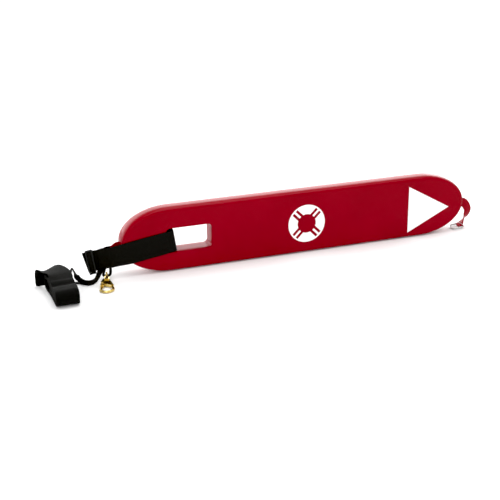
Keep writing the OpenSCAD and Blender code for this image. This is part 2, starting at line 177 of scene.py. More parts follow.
def skin_rings(rings, closed_ends=True):
    """Faces over rings of equal size."""
    n = len(rings[0])
    verts = [v for ring in rings for v in ring]
    faces = []
    for i in range(len(rings) - 1):
        for k in range(n):
            m = (k + 1) % n
            faces.append((i * n + k, i * n + m, (i + 1) * n + m, (i + 1) * n + k))
    if closed_ends:
        faces.append(tuple(range(n - 1, -1, -1)))
        faces.append(tuple((len(rings) - 1) * n + k for k in range(n)))
    return verts, faces


def belt_section(width, thick, across):
    """A webbing section: flat faces, thick rounded selvedges. Returns (w, n, v) triples round it."""
    pts = []
    r = thick / 2
    for k in range(across + 1):
        w = -width / 2 + r + (width - 2 * r) * k / across
        pts.append((w, -thick / 2, (w + width / 2)))
    for k in range(1, 4):
        a = -math.pi / 2 + math.pi * k / 4
        pts.append((width / 2 - r + r * math.cos(a), r * math.sin(a), width))
    for k in range(across + 1):
        w = width / 2 - r - (width - 2 * r) * k / across
        pts.append((w, thick / 2, (w + width / 2)))
    for k in range(1, 4):
        a = math.pi / 2 + math.pi * k / 4
        pts.append((-width / 2 + r + r * math.cos(a), r * math.sin(a), 0.0))
    return pts


def belt(name, centre, across_dirs, widths, thick, columns=10, shape=None):
    """A webbing strip along a line. shape(s, w, i) may bend its section, by (along width, along normal)."""
    rings, uvs = [], []
    s = 0.0
    for i, c in enumerate(centre):
        a, b = centre[max(i - 1, 0)], centre[min(i + 1, len(centre) - 1)]
        t = (b - a).normalized()
        w = across_dirs[i] - t * across_dirs[i].dot(t)
        w.normalize()
        n = t.cross(w)
        if i:
            s += (c - centre[i - 1]).length
        ring = []
        for pw, pn, v in belt_section(widths[i], thick, columns):
            dw, dn = shape(s, pw, i) if shape else (0, 0)
            ring.append(c + w * (pw + dw) + n * (pn + dn))
            uvs.append((s, v))
        rings.append(ring)
    verts, faces = skin_rings(rings)
    return new_mesh(name, verts, faces, uvs)


def tube(name, centre, radius, sides=12):
    rings, uvs = [], []
    ref = Vector((0.3, 0.2, 1)).normalized()
    s = 0.0
    for i, c in enumerate(centre):
        a, b = centre[max(i - 1, 0)], centre[min(i + 1, len(centre) - 1)]
        t = (b - a).normalized()
        ref = (ref - t * ref.dot(t)).normalized()
        n = t.cross(ref)
        if i:
            s += (c - centre[i - 1]).length
        turns = [2 * math.pi * k / sides for k in range(sides)]
        rings.append([c + (ref * math.cos(q) + n * math.sin(q)) * radius for q in turns])
        uvs += [(s, k / sides) for k in range(sides)]
    verts, faces = skin_rings(rings)
    return new_mesh(name, verts, faces, uvs)


# ---------------------------------------------------------------- materials
class Mat:
    """A small builder for node materials."""

    def __init__(self, name):
        self.mat = bpy.data.materials.new(name)
        self.mat.use_nodes = True
        self.nodes = self.mat.node_tree.nodes
        self.links = self.mat.node_tree.links
        self.bsdf = self.nodes["Principled BSDF"]

    def add(self, kind, **values):
        node = self.nodes.new(kind)
        for key, value in values.items():
            if hasattr(node, key):
                setattr(node, key, value)
            else:
                node.inputs[key.replace("_", " ")].default_value = value
        return node

    def link(self, a, b, out=0, into=0):
        self.links.new(a.outputs[out], b.inputs[into])

    def set(self, **values):
        for key, value in values.items():
            self.bsdf.inputs[key.replace("_", " ")].default_value = value

    def coords(self, which="Object", scale=(1, 1, 1)):
        c = self.add("ShaderNodeTexCoord")
        m = self.add("ShaderNodeMapping")
        m.inputs["Scale"].default_value = scale
        self.links.new(c.outputs[which], m.inputs["Vector"])
        return m

    def ramp(self, source, stops, out=0):
        r = self.add("ShaderNodeValToRGB")
        els = r.color_ramp.elements
        while len(els) < len(stops):
            els.new(0.5)
        for el, (pos, col) in zip(els, stops):
            el.position = pos
            el.color = (*col, 1) if len(col) == 3 else col
        self.links.new(source.outputs[out], r.inputs["Fac"])
        return r

    def math(self, op, a, b=None, value=None):
        m = self.add("ShaderNodeMath")
        m.operation = op
        self.links.new(a, m.inputs[0])
        if b is not None:
            self.links.new(b, m.inputs[1])
        elif value is not None:
            m.inputs[1].default_value = value
        return m.outputs[0]

    def bump(self, height, strength, distance, before=None):
        b = self.add("ShaderNodeBump")
        b.inputs["Strength"].default_value = strength
        b.inputs["Distance"].default_value = distance
        self.links.new(height, b.inputs["Height"])
        if before:
            self.links.new(before.outputs["Normal"], b.inputs["Normal"])
        return b


def vinyl():
    m = Mat("dipped_vinyl")
    m.set(Roughness=0.16, IOR=1.5, Specular_IOR_Level=0.09)
    m.set(**{"Coat_Weight": 0.0, "Coat_Roughness": 0.06})
    at = m.coords()
    tone = m.add("ShaderNodeTexNoise", Scale=9.0, Detail=3.0)
    m.link(at, tone)
    colour = m.ramp(tone, [(0.3, (0.235, 0.0004, 0.0075)), (0.7, (0.265, 0.0006, 0.0095))])
    m.links.new(colour.outputs["Color"], m.bsdf.inputs["Base Color"])
    peel = m.add("ShaderNodeTexNoise", Scale=420.0, Detail=2.0)
    m.link(at, peel)
    wave = m.add("ShaderNodeTexNoise", Scale=22.0, Detail=2.0)
    m.link(at, wave)
    b1 = m.bump(wave.outputs["Fac"], 0.35, 0.0009)
    b2 = m.bump(peel.outputs["Fac"], 0.12, 0.00012, b1)
    m.links.new(b2.outputs["Normal"], m.bsdf.inputs["Normal"])
    m.links.new(b1.outputs["Normal"], m.bsdf.inputs["Coat Normal"])
    scuff = m.add("ShaderNodeTexNoise", Scale=60.0, Detail=6.0)
    m.link(at, scuff)
    rough = m.ramp(scuff, [(0.4, (0.14, 0.14, 0.14)), (0.75, (0.24, 0.24, 0.24))])
    m.links.new(rough.outputs["Color"], m.bsdf.inputs["Roughness"])
    return m.mat


def webbing(name, tone=(0.0075, 0.0072, 0.0062), rib=0.0016, cross=0.0011):
    """Woven polyester: ribs along the strip, picks across it, with fibre fuzz."""
    m = Mat(name)
    m.set(**{"Roughness": 0.78, "Specular_IOR_Level": 0.10, "Sheen_Weight": 0.02, "Sheen_Roughness": 0.5})
    m.bsdf.inputs["Sheen Tint"].default_value = (0.6, 0.6, 0.56, 1)
    c = m.add("ShaderNodeTexCoord")
    sep = m.add("ShaderNodeSeparateXYZ")
    m.links.new(c.outputs["UV"], sep.inputs[0])
    along = m.math("MULTIPLY", sep.outputs["X"], value=2 * math.pi / cross)
    over = m.math("MULTIPLY", sep.outputs["Y"], value=2 * math.pi / rib)
    zig = m.math("SINE", over)
    lean = m.math("MULTIPLY", zig, value=1.6)
    picks = m.math("SINE", m.math("ADD", along, lean))
    ribs = m.math("ABSOLUTE", m.math("SINE", m.math("MULTIPLY", over, value=0.5)))
    height = m.math("ADD", m.math("MULTIPLY", picks, value=0.35), m.math("MULTIPLY", ribs, value=0.8))
    fuzz = m.add("ShaderNodeTexNoise", Scale=900.0, Detail=4.0)
    m.link(m.coords(), fuzz)
    total = m.math("ADD", height, m.math("MULTIPLY", fuzz.outputs["Fac"], value=0.5))
    b = m.bump(total, 0.55, 0.00028)
    m.links.new(b.outputs["Normal"], m.bsdf.inputs["Normal"])
    shade = m.ramp(fuzz, [(0.3, tuple(t * 0.7 for t in tone)), (0.75, tuple(t * 1.7 for t in tone))])
    m.links.new(shade.outputs["Color"], m.bsdf.inputs["Base Color"])
    return m.mat


def cord_mat():
    m = Mat("braided_cord")
    m.set(**{"Roughness": 0.6, "Specular_IOR_Level": 0.12, "Sheen_Weight": 0.02})
    c = m.add("ShaderNodeTexCoord")
    sep = m.add("ShaderNodeSeparateXYZ")
    m.links.new(c.outputs["UV"], sep.inputs[0])
    along = m.math("MULTIPLY", sep.outputs["X"], value=2 * math.pi / 0.004)
    around = m.math("MULTIPLY", sep.outputs["Y"], value=2 * math.pi * 4)
    one = m.math("SINE", m.math("ADD", along, around))
    two = m.math("SINE", m.math("SUBTRACT", along, around))
    height = m.math("MAXIMUM", one, two)
    b = m.bump(height, 0.7, 0.0004)
    m.links.new(b.outputs["Normal"], m.bsdf.inputs["Normal"])
    fuzz = m.add("ShaderNodeTexNoise", Scale=700.0)
    m.link(m.coords(), fuzz)
    shade = m.ramp(fuzz, [(0.3, (0.004, 0.004, 0.0037)), (0.8, (0.014, 0.014, 0.013))])
    m.links.new(shade.outputs["Color"], m.bsdf.inputs["Base Color"])
    return m.mat


def thread_mat():
    m = Mat("bonded_thread")
    m.set(Roughness=0.5, Specular_IOR_Level=0.2)
    wave = m.add("ShaderNodeTexWave", Scale=900.0, Distortion=1.0)
    m.link(m.coords(), wave)
    shade = m.ramp(wave, [(0.2, (0.008, 0.008, 0.008)), (0.8, (0.03, 0.03, 0.028))])
    m.links.new(shade.outputs["Color"], m.bsdf.inputs["Base Color"])
    b = m.bump(wave.outputs["Fac"], 0.6, 0.0003)
    m.links.new(b.outputs["Normal"], m.bsdf.inputs["Normal"])
    return m.mat


def brass_mat():
    m = Mat("cast_brass")
    m.set(Metallic=1.0, Roughness=0.2)
    at = m.coords()
    tarnish = m.add("ShaderNodeTexNoise", Scale=160.0, Detail=5.0)
    m.link(at, tarnish)
    dull, plain, bright = (0.36, 0.25, 0.055), (0.70, 0.53, 0.19), (0.90, 0.74, 0.38)
    colour = m.ramp(tarnish, [(0.3, dull), (0.55, plain), (0.8, bright)])
    m.links.new(colour.outputs["Color"], m.bsdf.inputs["Base Color"])
    rough = m.ramp(tarnish, [(0.3, (0.32, 0.32, 0.32)), (0.7, (0.14, 0.14, 0.14))])
    m.links.new(rough.outputs["Color"], m.bsdf.inputs["Roughness"])
    cast = m.add("ShaderNodeTexNoise", Scale=700.0, Detail=3.0)
    m.link(at, cast)
    b = m.bump(cast.outputs["Fac"], 0.25, 0.0002)
    m.links.new(b.outputs["Normal"], m.bsdf.inputs["Normal"])
    return m.mat


def steel_mat():
    m = Mat("drawn_wire")
    m.set(Metallic=1.0, Roughness=0.22)
    at = m.coords(scale=(1, 1, 1))
    draw = m.add("ShaderNodeTexNoise", Scale=500.0, Detail=4.0)
    m.link(at, draw)
    colour = m.ramp(draw, [(0.3, (0.42, 0.42, 0.41)), (0.75, (0.68, 0.68, 0.67))])
    m.links.new(colour.outputs["Color"], m.bsdf.inputs["Base Color"])
    rough = m.ramp(draw, [(0.3, (0.34, 0.34, 0.34)), (0.8, (0.18, 0.18, 0.18))])
    m.links.new(rough.outputs["Color"], m.bsdf.inputs["Roughness"])
    b = m.bump(draw.outputs["Fac"], 0.15, 0.0001)
    m.links.new(b.outputs["Normal"], m.bsdf.inputs["Normal"])
    return m.mat


def acetal_mat():
    m = Mat("moulded_acetal")
    m.set(Roughness=0.42, Specular_IOR_Level=0.25)
    at = m.coords()
    grain = m.add("ShaderNodeTexNoise", Scale=1100.0, Detail=3.0)
    m.link(at, grain)
    colour = m.ramp(grain, [(0.3, (0.010, 0.0105, 0.010)), (0.8, (0.022, 0.023, 0.021))])
    m.links.new(colour.outputs["Color"], m.bsdf.inputs["Base Color"])
    b = m.bump(grain.outputs["Fac"], 0.3, 0.0001)
    m.links.new(b.outputs["Normal"], m.bsdf.inputs["Normal"])
    return m.mat


def ink_mat():
    m = Mat("screen_ink")
    m.set(**{"Roughness": 0.38, "Coat_Weight": 0.2, "Coat_Roughness": 0.15})
    at = m.coords()
    wear = m.add("ShaderNodeTexNoise", Scale=340.0, Detail=6.0)
    m.link(at, wear)
    colour = m.ramp(wear, [(0.18, (0.78, 0.70, 0.70)), (0.3, (0.93, 0.93, 0.925)), (1.0, (0.96, 0.96, 0.955))])
    m.links.new(colour.outputs["Color"], m.bsdf.inputs["Base Color"])
    b = m.bump(wear.outputs["Fac"], 0.1, 0.0001)
    m.links.new(b.outputs["Normal"], m.bsdf.inputs["Normal"])
    return m.mat


def foam_mat():
    m = Mat("closed_cell_foam")
    m.set(Roughness=0.9)
    cells = m.add("ShaderNodeTexVoronoi", Scale=700.0)
    m.link(m.coords(), cells)
    colour = m.ramp(cells, [(0.0, (0.42, 0.39, 0.33)), (0.5, (0.66, 0.63, 0.56))])
    m.links.new(colour.outputs["Color"], m.bsdf.inputs["Base Color"])
    b = m.bump(cells.outputs["Distance"], 0.5, 0.0005)
    m.links.new(b.outputs["Normal"], m.bsdf.inputs["Normal"])
    return m.mat


VINYL = vinyl()
WEBBING = webbing("woven_webbing")
BUNDLE = webbing("woven_bundle", tone=(0.0048, 0.0048, 0.0042))
LINE = webbing("woven_line", rib=0.0013, cross=0.0012)
CORD = cord_mat()
THREAD = thread_mat()
BRASS = brass_mat()
STEEL = steel_mat()
ACETAL = acetal_mat()
INK = ink_mat()
FOAM = foam_mat()


def V(x, y, z):
    """A point given in millimetres, with x from the float's left tip."""
    return Vector((-TIP + x * MM, y * MM, z * MM))


# ---------------------------------------------------------------- the folded shoulder strap's frame
ROLL_AT = V(-147.5, 0, 0)
ROLL_TURN = math.radians(-88)
ROLL_X = Vector((math.cos(ROLL_TURN), math.sin(ROLL_TURN), 0))
ROLL_Y = Vector((-ROLL_X.y, ROLL_X.x, 0))
ROLL_FROM, ROLL_TO, ROLL_TALL = 6.0, 139.0, 40.0


def squat(x, z):
    """The roll is lower at its front and has a crease across its top."""
    front = min(1.0, max(0.0, (x - 70) / 50))
    rear = min(1.0, max(0.0, (72 - x) / 40))
    low = 1 - 0.11 * front * front * (3 - 2 * front) - 0.14 * rear * rear * (3 - 2 * rear)
    crease = 5.2 * math.exp(-(((x - 92 + 0.25 * (z - 30)) / 9) ** 2)) * max(0.0, (z - 12) / 28)
    swell = 1.2 * math.sin(x / 17 + 0.6) * (z / 40)
    return z * low - crease + swell * (z / 40 > 0.5)


def roll_point(x, y, z):
    sway = 2.2 * math.sin((x - 20) / 42)
    return ROLL_AT + ROLL_X * x * MM + ROLL_Y * (y + sway) * MM + Vector((0, 0, max(0.9, squat(x, z)) * MM))


# ---------------------------------------------------------------- tow line: the first of the cords
LINE_WIDE, LINE_THICK = 0.013, 0.002
line_stops = [
    ((-28.3, -6, 50), (0, -1, 0)),
    ((-31.5, -7.5, 44), (0.1, -1, -0.1)),
    ((-38, -10, 37), (0.5, -0.6, -0.3)),
    ((-44, -12.6, 30), (0.8, -0.2, -0.5)),
    ((-49, -14, 23), (0.8, 0, -0.6)),
    ((-56, -22, 14.5), (0.6, 0.2, -0.8)),
    ((-65, -33, 9), (0.25, 0.2, -1)),
    ((-77, -38, 7.4), (0, 0, -1)),
    ((-88, -32, 7.6), (0, -0.1, -1)),
    ((-96, -20, 10), (0, -0.4, -0.9)),
    ((-101.5, -8, 15.5), (0, -0.8, -0.6)),
    ((-105, -1, 24), (-0.1, -1, -0.2)),
    ((-109, 0.5, 31), (-0.2, -1, 0)),
    ((-112.5, -1, 24), (0, -1, -0.3)),
    ((-112.5, -11, 20), (0, -0.5, -1)),
    ((-112.6, -22, 19.5), (0, 0, -1)),
    ((-114, -31, 19.5), (0, 0, -1)),
]
line_points = smooth([V(*p) for p, w in line_stops], 10)
line_sides = smooth([Vector(w) for p, w in line_stops], 10)
# inside the roll the rest lies in flat runs, four deep and three side by side
HEIGHTS = (12.0, 17.1, 22.2, 27.3)
COLUMNS = (15.5, 0.0, -15.5)
run_from, run_to = 27.0, 120.0
# the first run starts late, and each later column starts clear of the one before
FIRST_RUN, COLUMN_CLEAR, TURN_BULGE = 58.0, 24.0, 2.5
inner = [((31, 22.5, 20), (0, 0, -1)), ((36, 17, 19), (0, -0.5, -0.9)), ((46, 15.5, 15), (0, -1, -0.3))]
at_front = True
for c, col in enumerate(COLUMNS):
    levels = HEIGHTS if c % 2 == 0 else HEIGHTS[::-1]
    for k, z in enumerate(levels):
        first, last = (run_from, run_to) if at_front else (run_to, run_from)
        if c == 0 and k == 0:
            first = FIRST_RUN
        if c and k == 0:
            first += COLUMN_CLEAR if at_front else -COLUMN_CLEAR
        inner.append(((first, col, z), (0, -1, 0)))
        inner.append((((first + last) / 2, col, z), (0, -1, 0)))
        inner.append(((last, col, z), (0, -1, 0)))
        if k < len(levels) - 1:
            bulge = TURN_BULGE if at_front else -TURN_BULGE
            inner.append(((last + bulge, col, (z + levels[k + 1]) / 2), (0, -1, 0)))
        at_front = not at_front


def in_roll(p):
    return ROLL_AT + ROLL_X * p[0] * MM + ROLL_Y * p[1] * MM + Vector((0, 0, p[2] * MM))


inner_points = smooth([in_roll(p) for p, w in inner], 6)
inner_sides = smooth([ROLL_X * w[0] + ROLL_Y * w[1] + Vector((0, 0, w[2])) for p, w in inner], 6)
line_path, line_across = even(line_points + inner_points[1:], 0.0024, line_sides + inner_sides[1:])
tow = belt("line_webbing", line_path, line_across, [LINE_WIDE] * len(line_path), LINE_THICK, columns=4)
finish_piece(tow, LINE, None, "webbing", "tow_line", "tow_line_lead", "tow_line_hank")
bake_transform(tow)
tail_stops = [V(-86, -26, 1.6), V(-93, -19, 1.5), V(-101, -13.5, 1.5), V(-113, -12, 1.6)]
tail_sides = [Vector((0.7, 0.7, 0)), Vector((0.65, 0.75, 0)), Vector((0.4, 0.9, 0)), Vector((0.1, 1, 0))]
tail_path, tail_across = even(smooth(tail_stops, 10), 0.0015, smooth(tail_sides, 10))
tail = belt("line_tail", tail_path, tail_across, [0.010] * len(tail_path), LINE_THICK, columns=4)
finish_piece(tail, LINE, "tow_line", "webbing", "tow_line_tail")

# ---------------------------------------------------------------- lanyard
lanyard_stops = [
    (-27, 0.4, 34), (-27.2, 2.8, 33.4), (-30, 3.6, 29), (-36, -2.5, 22), (-40.6, -9, 16), (-42, -12.4, 11.5),
    (-38.5, -13.3, 9.1), (-35, -14, 9), (-31.5, -14.7, 9.1), (-28, -15.6, 11.5), (-26.3, -16.5, 17),
    (-26.2, -17.4, 26), (-26.7, -15.6, 32.8), (-27, -12.7, 34),
]
lanyard_path = even(smooth([V(*p) for p in lanyard_stops], 12), 0.0008)
lanyard = tube("lanyard_cord", lanyard_path, 0.0032, 16)
finish_piece(lanyard, CORD, "float", "cord", "hook_lanyard")

# ---------------------------------------------------------------- shoulder strap
STRAP_WIDE = 0.050
arch_stops = [
    ((-180, -1, 1.2), (0.80, -0.60, 0)),
    ((-181, 1, 10), (0.82, -0.55, 0)),
    ((-178.5, 2, 21), (0.88, -0.40, 0.1)),
    ((-173.5, 0, 31), (0.92, -0.15, 0.25)),
    ((-165, -5, 38.5), (0.92, 0.20, 0.25)),
    ((-155.5, -14, 43), (0.91, 0.41, 0.08)),
    ((-146.5, -30, 43.6), (0.93, 0.36, 0)),
    ((-142, -48, 42.2), (0.97, 0.20, 0)),
]
strap_points = [V(*p) for p, w in arch_stops]
strap_sides = [Vector(w) for p, w in arch_stops]


def roll_side_at(share, inset):
    """A point on the roll's side view, round from the top going forwards."""
    r = ROLL_TALL / 2 - inset
    flat = ROLL_TO - ROLL_FROM - ROLL_TALL
    around = math.pi * r
    s = share * (2 * flat + 2 * around)
    back, front = ROLL_FROM + ROLL_TALL / 2, ROLL_TO - ROLL_TALL / 2
    if s < flat:
        return back + s, ROLL_TALL - inset
    s -= flat
    if s < around:
        a = math.pi / 2 - s / r
        return front + r * math.cos(a), ROLL_TALL / 2 + r * math.sin(a)
    s -= around
    if s < flat:
        return front - s, inset
    s -= flat
    a = -math.pi / 2 - s / r
    return back + r * math.cos(a), ROLL_TALL / 2 + r * math.sin(a)


TURNS = 3.55
STEPS = 110
first_share = 0.14
for k in range(int(TURNS * STEPS) + 1):
    turns = k / STEPS
    share = first_share + turns
    x, z = roll_side_at(share % 1.0, 0.9 + 2.45 * turns)
    slip = 1.3 * math.sin(2.1 * turns * math.pi + 0.5) * min(1, turns)
    strap_points.append(roll_point(x, slip, z))
    lean = 0.05 * math.sin(turns * 5) * min(1.0, max(0.0, (z - 8) / 12))
    strap_sides.append((ROLL_Y * 1.0 + Vector((0, 0, lean))).normalized())
head = smooth(strap_points[:12], 10)
head_sides = smooth(strap_sides[:12], 10)
strap_path, strap_across = even(head + strap_points[12:], 0.0022, head_sides + strap_sides[12:])
# the loose end is curled to under half its width, and opens out over the next 45 mm
CURLED, CURL_FOR, OPENS_OVER, STEP = 0.46, 0.012, 0.045, 0.0022
strap_wides = [
    STRAP_WIDE * min(1.0, CURLED + (1 - CURLED) * max(0.0, i * STEP - CURL_FOR) / OPENS_OVER)
    for i in range(len(strap_path))
]
shoulder = belt("shoulder_webbing", strap_path, strap_across, strap_wides, 0.0016, columns=16,
                shape=lambda s, w, i: (0.0, 0.0006 * math.sin(s * 90 + w * 60) * (abs(w) / 0.025)))
for vertex in shoulder.data.vertices:
    vertex.co.z = max(vertex.co.z, 0.0002)
finish_piece(shoulder, BUNDLE, "tow_line", "webbing", "shoulder_strap_roll", "shoulder_strap_arch")
line_route = [tuple(p) for p in line_path[::2]]
if len(line_path) % 2 == 0:
    line_route.append(tuple(line_path[-1]))

# ---------------------------------------------------------------- float
def side_outline(inset, count=40):
    """The float's side view, anticlockwise from the middle of the underside."""
    pts = []
    rx, rz = REACH - inset, MID - inset
    flat = TIP - REACH
    for k in range(13):
        pts.append((flat * k / 12, MID - rz))
    for k in range(1, count):
        a = -math.pi / 2 + math.pi * k / count
        pts.append((flat + rx * math.cos(a), MID + rz * math.sin(a)))
    for k in range(25):
        pts.append((flat - 2 * flat * k / 24, MID + rz))
    for k in range(1, count):
        a = math.pi / 2 + math.pi * k / count
        pts.append((-flat + rx * math.cos(a), MID + rz * math.sin(a)))
    for k in range(12):
        pts.append((-flat + flat * k / 12, MID - rz))
    return pts


def slot_outline(grow, corner=8):
    x0, x1 = -TIP + 0.105, -TIP + 0.210
    z0, z1 = 0.047, 0.102
    r = corner * MM
    pts = []
    for cx, cz, a0 in ((x1 - r, z0 + r, -90), (x1 - r, z1 - r, 0), (x0 + r, z1 - r, 90), (x0 + r, z0 + r, 180)):
        for k in range(9):
            a = math.radians(a0 + 90 * k / 8)
            pts.append((cx + (r + grow) * math.cos(a), cz + (r + grow) * math.sin(a)))
    return pts


def fill_between(bm, outer, hole):
    edges = []
    for loop in (outer, hole):
        for k in range(len(loop)):
            a, b = loop[k], loop[(k + 1) % len(loop)]
            edges.append(bm.edges.get((a, b)) or bm.edges.new((a, b)))
    bmesh.ops.triangle_fill(bm, use_beauty=True, edges=edges)


def build_plate(name, outer_rings, slot_rings):
    """A plate with the slot through it, from its rings listed front to rear."""
    bm = bmesh.new()
    outer = [[bm.verts.new((x, y, z)) for x, z in pts] for y, pts in outer_rings]
    inner = [[bm.verts.new((x, y, z)) for x, z in pts] for y, pts in slot_rings]
    for rings in (outer, inner):
        for a, b in zip(rings, rings[1:]):
            for k in range(len(a)):
                m = (k + 1) % len(a)
                bm.faces.new((a[k], a[m], b[m], b[k]))
    fill_between(bm, outer[0], inner[0])
    fill_between(bm, outer[-1], inner[-1])
    bmesh.ops.recalc_face_normals(bm, faces=bm.faces)
    data = bpy.data.meshes.new(name)
    bm.to_mesh(data)
    bm.free()
    data.polygons.foreach_set("use_smooth", [True] * len(data.polygons))
    obj = bpy.data.objects.new(name, data)
    bpy.context.scene.collection.objects.link(obj)
    mod = obj.modifiers.new("w", "WEIGHTED_NORMAL")
    mod.keep_sharp = True
    mod.weight = 100
    return apply_modifiers(obj)


def crowned(steps, depth, thick, power):
    """Pairs of (y, inset) across the float: a crowned edge that turns into the flat faces."""
    out = []
    for k in range(2 * steps + 1):
        a = math.pi * k / (2 * steps)
        y = -math.copysign(abs(math.cos(a)) ** (2 / power), math.cos(a)) * thick
        out.append((y, depth * (1 - math.sin(a) ** (2 / power))))
    return out


shell = build_plate(
    "float_shell",
    [(y, side_outline(inset)) for y, inset in crowned(16, 0.0095, HALF, 2.9)],
    [(y, slot_outline(inset)) for y, inset in crowned(12, 0.0042, HALF, 4.5)],
)
finish_piece(shell, VINYL, "float", "vinyl", "vinyl_skin")
FOAM_FACE, FOAM_GLUE_LINE, FOAM_INSET, FOAM_SLOT_GAP = 0.0192, 0.0014, 0.0085, 0.005
FOAM_SHEETS = {"foam_front": (-FOAM_FACE, -FOAM_GLUE_LINE), "foam_rear": (FOAM_GLUE_LINE, FOAM_FACE)}
for name, faces_at in FOAM_SHEETS.items():
    node = name + "_layer"
    foam_outer = [(y, side_outline(FOAM_INSET)) for y in faces_at]
    foam_slot = [(y, slot_outline(FOAM_SLOT_GAP)) for y in faces_at]
    plate = build_plate(name, foam_outer, foam_slot)
    finish_piece(plate, FOAM, "float", "foam", node)


# ---------------------------------------------------------------- slot strap and its slider
SLIDER_MID, SLIDER_Y = 195.5, 2.6 - HALF / MM
BAR, GAP, SL_THICK = 2.6, 3.9, 3.5
LAYER, NEAR = 1.85, 3.5 / 2 + 0.25 + 0.8
PITCH = (BAR + GAP) / 2
IN_SLOT = GAP / 2 - 0.2 - 0.8
SL_LONG = 3 * BAR + 2 * GAP
RUN_Y = HALF / MM + 1.2


def on_strap(u, y, z):
    """The strap's frame: u runs down to the free end, z along its width, in millimetres."""
    c, s = math.cos(SLOPE), math.sin(SLOPE)
    return PIVOT + Vector((-u * c - z * s, y, -u * s + z * c)) * MM


near_x = SLIDER_MID - SL_LONG / 2 - 2.5
rear_near = Vector((near_x, SLIDER_Y + NEAR + LAYER))
rear_bend = Vector((152, 17))
rear_dir = (rear_near - rear_bend).normalized()
rear_out = Vector((-rear_dir.y, rear_dir.x))
fold_y = SLIDER_Y + NEAR + 2 * LAYER
strap_line = [
    (rear_near - rear_dir * 34 + rear_out * LAYER, 0),
    (rear_near + Vector((0.44, 1)) * LAYER, 4),
    (Vector((SLIDER_MID + PITCH - IN_SLOT, fold_y)), 1),
    (Vector((SLIDER_MID + PITCH - IN_SLOT, SLIDER_Y - NEAR)), 1),
    (Vector((SLIDER_MID - PITCH + IN_SLOT, SLIDER_Y - NEAR)), 1),
    (Vector((SLIDER_MID - PITCH + IN_SLOT, SLIDER_Y + NEAR + LAYER)), 1),
    (rear_near, 3),
    (rear_bend, 12),
    (Vector((126, RUN_Y)), 12),
    (Vector((3, RUN_Y)), 3),
    (Vector((0, RUN_Y - 4)), 3),
    (Vector((0, 4 - RUN_Y)), 3),
    (Vector((3, -RUN_Y)), 3),
    (Vector((150, -RUN_Y)), 25),
    (Vector((SLIDER_MID - SL_LONG / 2 - 3, SLIDER_Y + NEAR)), 4),
    (Vector((SLIDER_MID - PITCH - IN_SLOT, SLIDER_Y + NEAR)), 1),
    (Vector((SLIDER_MID - PITCH - IN_SLOT, SLIDER_Y - NEAR - LAYER)), 1),
    (Vector((SLIDER_MID + PITCH + IN_SLOT, SLIDER_Y - NEAR - LAYER)), 1),
    (Vector((SLIDER_MID + PITCH + IN_SLOT, SLIDER_Y + NEAR)), 1),
    (Vector((209.5, SLIDER_Y + NEAR + 0.4)), 0),
]
flat_line = even([p.to_3d() for p in fillet([p for p, r in strap_line], [r for p, r in strap_line])], 1.1)
front_from = max(range(len(flat_line)), key=lambda i: -abs(flat_line[i].x) - abs(flat_line[i].y))
LOWER = ((0, -26), (60, -27.2), (105, -27.8), (150, -24.6), (180, -23.2), (190, -25), (230, -25))
UPPER = ((0, 25.5), (60, 25.3), (143, 24.0), (165, 23.2), (182, 24.3), (192, 25), (204, 25), (230, 26))


def table(pairs, x):
    for (x0, y0), (x1, y1) in zip(pairs, pairs[1:]):
        if x <= x1:
            t = (x - x0) / (x1 - x0)
            t = max(0.0, min(1.0, t))
            t = t * t * (3 - 2 * t)
            return y0 + (y1 - y0) * t
    return pairs[-1][1]


def build_slot_strap():
    rings, uvs = [], []
    s = 0.0
    for i, p in enumerate(flat_line):
        a, b = flat_line[max(i - 1, 0)], flat_line[min(i + 1, len(flat_line) - 1)]
        t = (b - a).normalized()
        n = Vector((-t.y, t.x, 0))
        if i:
            s += (p - flat_line[i - 1]).length
        low, high = -25.0, 25.0
        if i > front_from and p.y < 0:
            low, high = table(LOWER, p.x), table(UPPER, p.x)
        elif i < front_from and 30 < p.x < 186:
            sag = math.sin(math.pi * min(1, max(0, (p.x - 30) / 156))) ** 0.6
            low, high = -25 - 2.5 * sag, 25 - 17 * sag
        ring = []
        for w, off, v in belt_section(50.0, 1.6, 20):
            z = low + (w + 25) / 50 * (high - low)
            x = p.x
            if i > len(flat_line) - 9 and w < 20:
                x -= (20 - w) * 0.12 * max(0, p.x - SLIDER_MID - SL_LONG / 2) / 6
            bow = 0.5 * math.cos(w / 25 * math.pi / 2) if 12 < p.x < 178 and abs(p.y) > 15 else 0
            ripple = 0.25 * math.sin(p.x / 9.0 + w / 13) * (1 if 12 < p.x < 175 and abs(p.y) > 15 else 0)
            out = -1 if p.y < 0 else 1
            q = on_strap(x + n.x * off, p.y + n.y * off + out * (bow + ripple + (0.3 if bow else 0)), z)
            ring.append(q)
            uvs.append((s * MM, v * MM))
        rings.append(ring)
    verts, faces = skin_rings(rings)
    return new_mesh("slot_webbing", verts, faces, uvs)


slot_strap = build_slot_strap()
finish_piece(slot_strap, WEBBING, None, "webbing", "slot_strap")
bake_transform(slot_strap)


